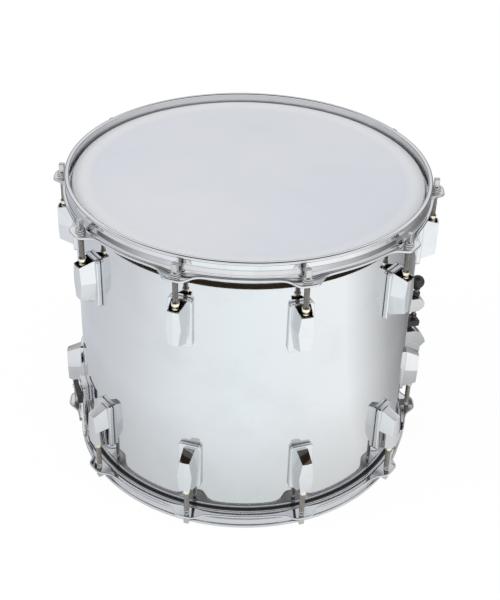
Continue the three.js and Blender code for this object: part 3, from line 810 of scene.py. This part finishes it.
def hoopMesh(gateAngles):
    near = [0.5 * i for i in range(19)]
    half = near + [10, 11, 12, 13, 14, 15, 16, 17, 18]
    pitch = [-a for a in reversed(half[1:-1])] + half
    sections = []
    for lug in range(10):
        for angle in pitch:
            share = 1 / (1 + (abs(angle) / hoop["earWidth"]) ** hoop["earPower"])
            sections.append((math.radians(36 * lug + angle), hoopSection(share)))
    points, faces = [], []
    count = len(sections[0][1])
    for angle, outline in sections:
        points += [(r * math.cos(angle), r * math.sin(angle), z) for r, z in outline]
    for i in range(len(sections)):
        a, b = i * count, (i + 1) % len(sections) * count
        for j in range(count):
            k = (j + 1) % count
            faces.append((a + j, b + j, b + k, a + k))
    ring = cleaned(meshOf("hoop", points, faces, "chromePlate"), 40)
    cutters = []
    for angle in gateAngles:
        low = (hoop["inner"] - 4, -hoop["gateWidth"] / 2, -hoop["gateReach"])
        shape = block(low, (hoop["ear"], hoop["gateWidth"] / 2, -hoop["gateTop"]))
        cutters.append(cleaned(meshOf("gate", *shape, "chromePlate")))
        cutters[-1].transform(Matrix.Rotation(angle, 4, "Z"))
    return cutAway("hoop", ring, cutters)


addPiece("batter_counter_hoop", hoopMesh([]), endPlace("top", angleOf("top_rod_01")), "drum", "chrome",
         "batter_hoop")
# the bottom place turns the hoop over, so its angles run the other way
lowTurn = angleOf("bottom_rod_01")
gates = [lowTurn - strainerAngle, lowTurn - buttAngle]
addPiece("snare_side_counter_hoop", hoopMesh(gates), endPlace("bottom", lowTurn), "drum", "chrome",
         "snare_side_hoop")
print("hoops done")

# ---- lugs

lug = {
    "plateRadius": 178.1, "gasketRadius": 177.8, "plateFront": 182.3, "half": 12.0, "top": 48.0,
    "bottom": 102.0, "corner": 3.6, "back": 180.0, "front": 197.5, "wall": 1.5, "ridge": 0.6,
    # how far the hollow runs out past the open end, then each level's distance from the bead plane
    # and half width, at the plate and at the front
    "openReach": 12,
    "open": (49.0, 8.2, 54.0, 5.7), "middle": (74.0, 10.0, 72.0, 7.8), "closed": (98.5, 6.2, 91.0, 5.2),
    "nutTop": 46.6, "nutFlange": 3.9, "flangeEnd": 50.0, "nutNeck": 3.3, "neckStart": 50.6, "neckEnd": 52.6,
    "nutBody": 3.7, "bodyStart": 53.4, "nutBottom": 60.0, "nutBore": 2.9,
}


def lugHull(inset, openShift, floor):
    points = []
    for key, shift in (("open", openShift), ("middle", 0), ("closed", inset)):
        plateDepth, plateHalf, frontDepth, frontHalf = lug[key]
        points.append((lug["front"] + lug["ridge"] - inset, 0, shift - frontDepth))
        for side in (-1, 1):
            points.append((floor, side * (plateHalf - inset), shift - plateDepth))
            points.append((lug["front"] - inset, side * (frontHalf - inset), shift - frontDepth))
    return hull(points)


def plateOutline(inset=0.0):
    half, low, high, corner = lug["half"] - inset, -lug["bottom"] + inset, -lug["top"] - inset, lug["corner"]
    return roundedBox(-half, half, low, high, corner, 6)


def lugMesh():
    plate = solid("lugPlate", [shellSlab(plateOutline(), lug["plateRadius"], lug["plateFront"])], [],
                  ["chromePlate", "darkCastAndShade"], bevel=1.1, segments=4)
    # the hollow's faces take the near-black metal, painted shade inside the lug
    hollow = lugHull(lug["wall"], lug["openReach"], lug["plateFront"] + 0.3)
    body = solid("lugBody", [lugHull(0, 0, lug["back"])], [hollow],
                 ["chromePlate", "darkCastAndShade"], bevel=0.55, segments=4, angle=8)
    return joined("lug", plate, body)


def gasketMesh():
    outline = plateOutline(0.9)
    shape = prism(outline, lambda u, v, level: (
        math.sqrt((lug["plateRadius"] + 0.4 if level else lug["gasketRadius"]) ** 2 - u * u), u, v))
    return cleaned(meshOf("gasket", *shape, "rubberGasket"))


def nutMesh():
    n = lug
    outline = rounded([
        (n["nutBore"], -n["nutBottom"], 0.2), (n["nutBody"], -n["nutBottom"], 0.6),
        (n["nutBody"], -n["bodyStart"], 0.5), (n["nutNeck"], -n["neckEnd"], 0.4),
        (n["nutNeck"], -n["neckStart"], 0.4), (n["nutFlange"], -n["flangeEnd"], 0.4),
        (n["nutFlange"], -n["nutTop"], 0.8), (n["nutBore"], -n["nutTop"], 0.4)], 3)
    return turnedPiece("swivelNut", outline, 40, "turnedBrass", closed=True, axis=rodCircle)


lugShape, gasket, nut = lugMesh(), gasketMesh(), nutMesh()

# ---- tension rods

rod = {
    "radius": 2.75, "root": 2.2, "pitch": 1.058, "tip": 68.0, "plainBottom": 22.6,
    "headTop": 5.1, "half": 2.8, "squareBottom": 13.6, "collar": 4.1, "collarEdge": 14.8,
    "collarBottom": 16.2,
    "washerInner": 2.9, "washer": 5.3, "washerBottom": 17.7,
}


def threadMesh(low, high, radius, root, pitch, steps=20, perTurn=6, axis=0.0, paintName="threadSteel"):
    # a helical ridge round a core, tapered away at its free end
    rows = int((high - low) / pitch * perTurn)
    points, faces = [], []
    for i in range(rows + 1):
        z = low + (high - low) * i / rows
        fade = min(1.0, (z - low) / (1.5 * pitch))
        for j in range(steps):
            phase = (z / pitch - j / steps) % 1.0
            crest = max(0.0, min(1.0, 2.2 * (1 - abs(2 * phase - 1)) - 0.5))
            r = root + (radius - root) * crest - (1 - fade) * 0.5
            angle = 2 * math.pi * j / steps
            points.append((axis + r * math.cos(angle), r * math.sin(angle), z))
    for i in range(rows):
        for j in range(steps):
            k = (j + 1) % steps
            faces.append((i * steps + j, i * steps + k, (i + 1) * steps + k, (i + 1) * steps + j))
    faces.append(tuple(range(steps - 1, -1, -1)))
    faces.append(tuple(range(rows * steps, (rows + 1) * steps)))
    return cleaned(meshOf("thread", points, faces, paintName), 75)


def rodMeshes():
    r = rod
    thread = threadMesh(-r["tip"], -r["plainBottom"], r["radius"], r["root"], r["pitch"], axis=rodCircle)
    shank = turnedPiece("shank", rounded([
        (0, -r["plainBottom"] - 0.2, 0), (r["radius"] - 0.25, -r["plainBottom"] - 0.2, 0.2),
        (r["radius"], -r["plainBottom"] + 0.8, 0.2), (r["radius"], -r["collarBottom"] + 0.5, 0),
        (0, -r["collarBottom"] + 0.5, 0)], 2)[:-1], 32, "keySteel", axis=rodCircle)
    collar = turnedPiece("collar", [(0, -r["collarBottom"])] + rounded([
        (0.01, -r["collarBottom"], 0), (r["collar"] + 0.5, -r["collarBottom"], 0.5),
        (r["collar"] + 0.5, -r["collarEdge"], 0.6), (r["collar"] - 0.9, -r["squareBottom"] + 0.3, 0.5),
        (0.01, -r["squareBottom"] + 0.3, 0)], 4)
        + [(0, -r["squareBottom"] + 0.3)], 40, "keySteel", axis=rodCircle)
    half, low = r["half"], -r["squareBottom"] - 0.8
    square = block((rodCircle - half, -half, low), (rodCircle + half, half, -r["headTop"]))
    key = solid("key", [square], [], ["keySteel"], bevel=0.75, segments=4)
    upper = joined("rodHead", shank, collar, key)
    washer = turnedPiece("washer", rounded([
        (r["washerInner"], -r["washerBottom"], 0.2), (r["washer"], -r["washerBottom"], 0.35),
        (r["washer"], -r["collarBottom"] - 0.15, 0.45),
        (r["washerInner"], -r["collarBottom"] - 0.05, 0.2)], 3),
        48, "chromePlate", closed=True, axis=rodCircle)
    return thread, upper, washer


thread, rodHead, washer = rodMeshes()
for side in ("top", "bottom"):
    for number in range(1, 11):
        tag = f"{side}_{{}}_{number:02d}"
        body = tag.format("rod")
        place = endPlace(side, angleOf(body))
        addPiece(tag.format("lug_casing"), lugShape, place, "drum", "chrome", tag.format("lug"))
        addPiece(tag.format("lug_gasket"), gasket, place, "drum", "gasket", tag.format("lug"))
        addPiece(tag.format("swivel_nut"), nut, place, "drum", "brass", tag.format("lug"))
        addPiece(tag.format("rod_thread"), thread, place, body, "rod_steel", tag.format("tension_rod"))
        addPiece(tag.format("rod_key_head"), rodHead, place, body, "rod_steel", tag.format("tension_rod"))
        addPiece(tag.format("rod_washer"), washer, place, body, "chrome", tag.format("tension_rod"))
print("lugs and rods done")

# ---- throw-off

housing = {
    "back": 178.4, "plateFront": 181.4, "half": 15, "bottom": 56, "top": 150, "corner": 4, "front": 203,
    "blockHalf": 11.4, "blockBottom": 58, "blockTop": 92, "railFront": 192, "railInner": 8.4, "railTop": 146,
    "earFront": 212, "earTop": 71, "gapBack": 187.4, "gapFront": 190.2, "gapHalf": 7.5,
    "screwRadius": 3.1, "screwHeights": (103, 143),
}
lever = {
    "x": 208, "z": 63, "half": 8, "boss": 4, "bore": 1.9, "pin": 1.7, "pinHalf": 11.2, "behind": 3.4,
    "toe": (221, 71), "tip": (211.5, 87), "top": 90, "waistBack": 213.5, "waistFront": 223, "waistLow": 60,
    "waistHigh": 92, "waistMiddle": 9.5, "waistHalf": 3, "ribs": 5, "ribRadius": 0.75, "ribHalf": 5.2,
}
slide = {"half": 8, "back": 182.2, "bottom": 117.6, "top": 134.4, "front": 212.5, "tongueFront": 185.8,
         "tongueBottom": 84, "tongueHalf": 5}
screw = {
    "radius": 2.3, "x": 204.5, "bottom": 104.6, "pitch": 0.8, "knobZ": 153, "knob": 7.8,
    # radius, bottom, top, number and depth of the flutes, rounded edge
    "stop": (3.6, 107, 109, 16, 0.25, 0.4), "nut": (3.8, 114.2, 117.2, 16, 0.3, 0.5),
    "lockRing": (4.4, 134.7, 140.1, 14, 0.5, 1.0),
}
clamp = {"back": 187, "front": 209.5, "half": 8, "bottom": 96, "top": 104.2, "screw": 2.2,
         "screwHeight": 100.1, "screwSides": (-5, 5)}


def housingMesh():
    h = housing
    plate = roundedBox(-h["half"], h["half"], h["bottom"], h["top"], h["corner"], 6)
    parts = [shellSlab(plate, h["back"] - 0.3, h["plateFront"]),
             block((h["plateFront"] - 1, -h["blockHalf"], h["blockBottom"]),
                   (h["front"], h["blockHalf"], h["blockTop"]))]
    for side in (-1, 1):
        near, far = sorted((side * h["railInner"], side * h["blockHalf"]))
        rail = rounded([(h["plateFront"] - 1, h["blockTop"] - 1, 0), (h["railFront"], h["blockTop"] - 1, 0),
                        (h["railFront"], h["railTop"], 5), (h["plateFront"] - 1, h["railTop"], 0)], 5)
        parts.append(sideSlab(rail, (far - near) / 2, (far + near) / 2))
        ear = rounded([(h["front"] - 1, h["blockBottom"], 0), (h["earFront"], h["blockBottom"], 5),
                       (h["earFront"], h["earTop"], 5), (h["front"] - 1, h["earTop"] + 6, 0)], 5)
        parts.append(sideSlab(ear, (far - near) / 2, (far + near) / 2))
    slot = slide["tongueHalf"] + 1
    # the slide's groove, and the gap that the strap runs through
    cuts = [block((h["plateFront"], -slot, slide["tongueBottom"] - 4),
                  (slide["tongueFront"] + 0.8, slot, h["blockTop"] + 1)),
            block((h["gapBack"], -h["gapHalf"], h["blockBottom"] - 1),
                  (h["gapFront"], h["gapHalf"], h["blockTop"] + 1))]
    # the groove and the gap take the near-black metal, painted shade inside them
    return solid("housing", parts, cuts, ["chromePlate", "darkCastAndShade"], bevel=0.7, segments=3)


def ovalHead(name, x, y, z, radius, paintName, slotWidth=0.9):
    # a domed cross-slotted screw head on a face that looks along x
    dome = [(0, 0)] + [(radius * math.cos(a), 0.55 * radius * math.sin(a)) for a in
                       [math.radians(15 * i) for i in range(7)]]
    cap = turnedPiece(name, dome, 32, paintName, sharpAngle=50)
    shape = ([tuple(v.co) for v in cap.vertices], [tuple(f.vertices) for f in cap.polygons])
    reach, depth = radius * 0.62, 0.3 * radius
    arms = [block((-reach, -slotWidth / 2, depth), (reach, slotWidth / 2, radius)),
            block((-slotWidth / 2, -reach, depth), (slotWidth / 2, reach, radius))]
    # the slots take the near-black metal, painted shade in the slots
    mesh = solid(name, [shape], arms, [paintName, "darkCastAndShade"], bevel=0)
    mesh.shade_smooth()
    mesh.set_sharp_from_angle(angle=math.radians(40))
    mesh.transform(Matrix.Translation((x, y, z)) @ Matrix.Rotation(math.pi / 2, 4, "Y"))
    return mesh


def leverMeshes():
    x, z, back = lever["x"], lever["z"], lever["x"] - lever["behind"]
    toe, tip = lever["toe"], lever["tip"]
    outline = rounded([(back, z + 1, 0.5), (x + 0.5, z - 3.9, 3), (*toe, 2.2), (*tip, 2),
                       (back, lever["top"], 1.6)], 5)
    waist = []
    for side in (-1, 1):
        middle = side * lever["waistMiddle"]
        waist.append(block((lever["waistBack"], middle - lever["waistHalf"], lever["waistLow"]),
                           (lever["waistFront"], middle + lever["waistHalf"], lever["waistHigh"])))
    grip = solid("lever", [sideSlab(outline, lever["half"]), crossPin(x, z, lever["boss"], lever["half"])],
                 [crossPin(x, z, lever["bore"], lever["half"] + 1)] + waist, ["chromePlate"],
                 bevel=0.9, segments=4)
    ribs = []
    for i in range(lever["ribs"]):
        at = Vector((toe[0], 0, toe[1])).lerp(Vector((tip[0], 0, tip[1])), 0.18 + 0.15 * i)
        rib = crossPin(at.x + 0.1, at.z, lever["ribRadius"], lever["ribHalf"], 16)
        ribs.append(solid("rib", [rib], [], ["chromePlate"], bevel=0.25, segments=2))
    reach = lever["pinHalf"]
    pin = turnedPiece("pin", [(0, -reach)] + rounded([
        (0.01, -reach, 0), (lever["pin"], -reach, 0.5), (lever["pin"], reach, 0.5), (0.01, reach, 0)], 4)
        + [(0, reach)], 32, "keySteel")
    pin.transform(Matrix.Translation((x, 0, z)) @ Matrix.Rotation(math.pi / 2, 4, "X"))
    return joined("leverGrip", grip, *ribs), pin


def slideMesh():
    s = slide
    outline = rounded([(s["back"], s["bottom"], 0.8), (s["front"] - 6, s["bottom"], 2),
                       (s["front"], s["bottom"] + 5, 2.5), (s["front"], s["top"] - 5, 2.5),
                       (s["front"] - 6, s["top"], 2), (s["back"], s["top"], 0.8)], 5)
    tongue = block((s["back"], -s["tongueHalf"], s["tongueBottom"]),
                   (s["tongueFront"], s["tongueHalf"], s["bottom"] + 1))
    return solid("slide", [sideSlab(outline, s["half"]), tongue], [], ["chromePlate"], bevel=1.0, segments=4)


def fluted(key, paintName):
    # a round part on the screw, with shallow flutes and rounded ends
    radius, low, high, flutes, depth, edge = screw[key]
    axis = screw["x"]
    levels = [(low, 0.0), (low + edge * 0.3, 0.7), (low + edge, 1.0), (high - edge, 1.0),
              (high - edge * 0.3, 0.7), (high, 0.0)]
    steps = flutes * 6
    points, faces = [(axis, 0, low), (axis, 0, high)], []
    for z, share in levels:
        for j in range(steps):
            angle = 2 * math.pi * j / steps
            r = radius - edge * (1 - share) - depth * share * (0.5 - 0.5 * math.cos(flutes * angle))
            points.append((axis + r * math.cos(angle), r * math.sin(angle), z))
    for i in range(len(levels) - 1):
        for j in range(steps):
            k = (j + 1) % steps
            a, b = 2 + i * steps, 2 + (i + 1) * steps
            faces.append((a + j, a + k, b + k, b + j))
    last = 2 + (len(levels) - 1) * steps
    for j in range(steps):
        k = (j + 1) % steps
        faces += [(0, 2 + k, 2 + j), (1, last + j, last + k)]
    return cleaned(meshOf("fluted", points, faces, paintName), 40)


def knobMesh():
    # ball knob on a short neck
    x, z, r = screw["x"], screw["knobZ"], screw["knob"]
    ball = [(r * math.cos(math.radians(a)), z + r * math.sin(math.radians(a))) for a in range(-50, 90, 7)]
    neck = [(0, z - r - 1.6)] + rounded([
        (0.01, z - r - 1.6, 0), (3.9, z - r - 1.6, 0.5), (4.2, z - r + 0.6, 0.5),
        (0.01, z - r + 0.8, 0)], 3)[1:-1]
    return turnedPiece("knob", neck + ball + [(0, z + r)], 56, "blackPlastic", axis=x, sharpAngle=60)


strainerPlace, buttPlace = sidePlace(strainerAngle), sidePlace(buttAngle)
grip, pin = leverMeshes()
plateHeads = [ovalHead("plateScrew", housing["plateFront"], 0, z, housing["screwRadius"], "chromePlate")
              for z in housing["screwHeights"]]
screwHeads = joined("screwHeads", *plateHeads)
addPiece("throw_off_housing", housingMesh(), strainerPlace, "drum", "chrome", "strainer_housing")
addPiece("throw_off_screws", screwHeads, strainerPlace, "drum", "chrome", "strainer_housing")
addPiece("throw_off_pivot_pin", pin, strainerPlace, "drum", "rod_steel", "strainer_housing")
addPiece("throw_off_lever", grip, strainerPlace, "lever", "chrome", "strainer_lever")
addPiece("throw_off_slide", slideMesh(), strainerPlace, "slide", "chrome", "strainer_slide")
stem = threadMesh(screw["bottom"], screw["knobZ"] - screw["knob"] - 1, screw["radius"],
                  screw["radius"] - 0.35, screw["pitch"], axis=screw["x"])
addPiece("adjuster_stem", stem, strainerPlace, "adjuster", "rod_steel", "adjuster_screw")
addPiece("adjuster_knob", knobMesh(), strainerPlace, "adjuster", "black_plastic", "adjuster_screw")
addPiece("adjuster_stop", fluted("stop", "darkCastAndShade"), strainerPlace, "adjuster", "rod_steel",
         "adjuster_screw")
addPiece("adjuster_nut", fluted("nut", "turnedBrass"), strainerPlace, "adjuster", "brass", "adjuster_screw")
addPiece("adjuster_lock_ring", fluted("lockRing", "blackPlastic"), strainerPlace, "lock_nut",
         "black_plastic", "adjuster_lock_nut")
clampBlock = block((clamp["back"], -clamp["half"], clamp["bottom"]),
                   (clamp["front"], clamp["half"], clamp["top"]))
clampShape = solid("clamp", [clampBlock], [], ["blackPlastic"], bevel=1.2, segments=4)
addPiece("strap_clamp_block", clampShape, strainerPlace, "slide", "black_plastic", "strainer_strap_clamp")
clampHeads = joined("clampHeads", *[
    ovalHead("clampScrew", clamp["front"], y, clamp["screwHeight"], clamp["screw"], "chromePlate", 0.6)
    for y in clamp["screwSides"]])
addPiece("strap_clamp_screws", clampHeads, strainerPlace, "slide", "chrome", "strainer_strap_clamp")
print("throw-off done")

# ---- butt, straps and snare wires

butt = {
    "back": 178.1, "baseFront": 182.4, "baseHalf": 10, "plateFront": 184.2, "topHalf": 15, "lowHalf": 8.5,
    "top": 83, "shoulder": 62, "bottom": 42, "screw": 2.4, "screwHeight": 79,
    "clampBack": 185.6, "clampFront": 191.2, "clampHalf": 16, "clampBottom": 65, "clampTop": 75,
    "clampScrew": 2.6, "clampScrewHeight": 70, "clampScrewSides": (-11, 11),
}
strap = {"half": 6.5, "thick": 0.7, "under": 6.0, "end": 161.0, "buttRadius": 184.5, "strainerRadius": 188.2}
snares = {"end": 160.6, "plate": 15, "plateHalf": 27, "bottom": 6.1, "thick": 0.9, "strands": 20,
          "coil": 0.75, "wire": 0.17, "pitch": 1.7, "inset": 9,
          "holeInset": 4, "holeLength": 1.3, "holeWidth": 3.2, "holeSides": (-17, 17)}


def buttMesh():
    b = butt
    low, high = b["lowHalf"], b["topHalf"]
    plate = rounded([(-low, b["bottom"], 2.5), (low, b["bottom"], 2.5), (high, b["shoulder"], 2),
                     (high, b["top"], 3), (-high, b["top"], 3), (-high, b["shoulder"], 2)], 5)
    half = b["baseHalf"]
    base = [(-half, b["shoulder"]), (half, b["shoulder"]), (half, b["top"]), (-half, b["top"])]
    parts = [faceSlab(plate, b["baseFront"] - 0.5, b["plateFront"]),
             shellSlab(base, b["back"], b["baseFront"])]
    return solid("butt", parts, [], ["satinAluminium"], bevel=0.5, segments=3)


def strapMesh(radius, top):
    t, low = strap["thick"], strap["under"]
    outline = rounded([
        (strap["end"], low, 0), (radius + t, low, 2.6), (radius + t, top, 0), (radius, top, 0),
        (radius, low + t, 1.9), (strap["end"], low + t, 0)], 6)
    return solid("strap", [sideSlab(outline, strap["half"])], [], ["nylonStrap"],
                 bevel=0.15, segments=2, angle=50)


def wireMesh():
    # spiral strands between two end plates
    s = snares
    reach = s["end"] - s["inset"]
    turns = int(2 * reach / s["pitch"])
    around, sides = 7, 3
    points, faces = [], []
    for strand in range(s["strands"]):
        y0 = (strand / (s["strands"] - 1) - 0.5) * 2 * (s["plateHalf"] - 2)
        first = len(points)
        count = turns * around
        for i in range(count + 1):
            angle = 2 * math.pi * i / around
            x = -reach + 2 * reach * i / count
            for k in range(sides):
                lean = 2 * math.pi * k / sides
                r = s["coil"] - s["wire"] + s["wire"] * math.cos(lean)
                points.append((x + s["wire"] * math.sin(lean), y0 + r * math.cos(angle),
                               s["bottom"] + s["thick"] + s["coil"] - 0.3 + r * math.sin(angle)))
        for i in range(count):
            for k in range(sides):
                n = (k + 1) % sides
                a = first + i * sides
                faces.append((a + k, a + sides + k, a + sides + n, a + n))
        end = first + count * sides
        faces += [tuple(first + k for k in range(sides)), tuple(end + k for k in range(sides - 1, -1, -1))]
    mesh = meshOf("wires", points, faces, "wireSteel")
    mesh.shade_smooth()
    return mesh


def endPlateMesh():
    s = snares
    parts = []
    for side in (-1, 1):
        near, far = sorted((side * (s["end"] - s["plate"]), side * s["end"]))
        outline = roundedBox(near, far, -s["plateHalf"], s["plateHalf"], 2, 4)
        shape = prism(outline, lambda u, v, level: (u, v, s["bottom"] + (s["thick"] if level else 0)))
        centre = side * (s["end"] - s["holeInset"])
        angles = [2 * math.pi * i / 24 for i in range(24)]
        holes = []
        for y in s["holeSides"]:
            edge = [(centre + s["holeLength"] * math.cos(a), y + s["holeWidth"] * math.sin(a)) for a in angles]
            holes.append(prism(edge, lambda u, v, level: (u, v, s["bottom"] + (3 if level else -2))))
        parts.append(solid("endPlate", [shape], holes, ["satinAluminium"], bevel=0.2, segments=2))
    return joined("endPlates", *parts)


addPiece("butt_plate_body", buttMesh(), buttPlace, "drum", "aluminium", "butt_plate")
buttHead = ovalHead("buttScrew", butt["plateFront"], 0, butt["screwHeight"], butt["screw"],
                    "chromePlate", 0.7)
addPiece("butt_top_screw", buttHead, buttPlace, "drum", "chrome", "butt_plate")
barBlock = block((butt["clampBack"], -butt["clampHalf"], butt["clampBottom"]),
                 (butt["clampFront"], butt["clampHalf"], butt["clampTop"]))
bar = solid("bar", [barBlock], [], ["blackPlastic"], bevel=1.3, segments=4)
addPiece("butt_clamp_bar", bar, buttPlace, "drum", "black_plastic", "butt_clamp")
barHeads = joined("barHeads", *[
    ovalHead("barScrew", butt["clampFront"], y, butt["clampScrewHeight"], butt["clampScrew"],
             "chromePlate", 0.7)
    for y in butt["clampScrewSides"]])
addPiece("butt_clamp_screws", barHeads, buttPlace, "drum", "chrome", "butt_clamp")
addPiece("butt_end_strap", strapMesh(strap["buttRadius"], butt["clampTop"]), buttPlace, "drum",
         "strap_plastic", "butt_strap")
addPiece("throw_off_strap", strapMesh(strap["strainerRadius"], clamp["bottom"] + 1), strainerPlace, "slide",
         "strap_plastic", "strainer_strap")
addPiece("snare_wire_strands", wireMesh(), strainerPlace, "snares", "snare_steel", "snare_wires")
addPiece("snare_end_plates", endPlateMesh(), strainerPlace, "snares", "snare_steel", "snare_wires")
print("butt, straps and snares done")
